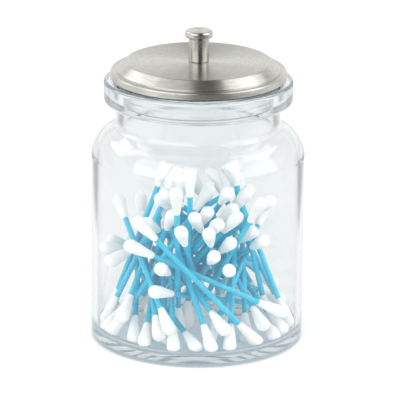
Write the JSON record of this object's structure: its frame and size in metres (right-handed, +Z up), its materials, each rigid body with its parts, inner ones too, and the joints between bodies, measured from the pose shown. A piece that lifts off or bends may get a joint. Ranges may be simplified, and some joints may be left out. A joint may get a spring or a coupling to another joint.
{
  "type": "glass canister",
  "caption": "Round glass canister with shoulder and thick rim, lift-off brushed steel lid with turned knob, filled with double-ended cotton swabs.",
  "frame": {"origin": "centre of the foot ring on the table", "axes": "+Z up through the knob; the jar, lid and knob are turned about Z"},
  "size_m": [0.089, 0.089, 0.1323],
  "materials": {
    "glass": "clear polished",
    "lid_steel": "brushed in circles",
    "clear_plug": "clear moulded",
    "seal": "clear soft",
    "knob_steel": "turned satin",
    "fasteners": "plain",
    "stick": "translucent blue",
    "cotton": "matte wound cotton"
  },
  "bodies": {
    "jar": {"jar": "glass", "swab_sticks_1": "stick", "swab_buds_1": "cotton", "swab_sticks_2": "stick", "swab_buds_2": "cotton", "swab_sticks_3": "stick", "swab_buds_3": "cotton", "swab_sticks_4": "stick", "swab_buds_4": "cotton", "swab_sticks_5": "stick", "swab_buds_5": "cotton", "swab_sticks_6": "stick", "swab_buds_6": "cotton", "swab_sticks_7": "stick", "swab_buds_7": "cotton", "swab_sticks_8": "stick", "swab_buds_8": "cotton"},
    "lid": {"lid_shell": "lid_steel", "lid_plug": "clear_plug", "seal_ring": "seal", "knob": "knob_steel", "knob_screw": "fasteners", "washer": "fasteners"}
  },
  "joints": [
    {"name": "lid_lift", "type": "slide", "parent": "jar", "child": "lid", "axis": [0, 0, 1], "range_m": [0, 0.06]}
  ]
}
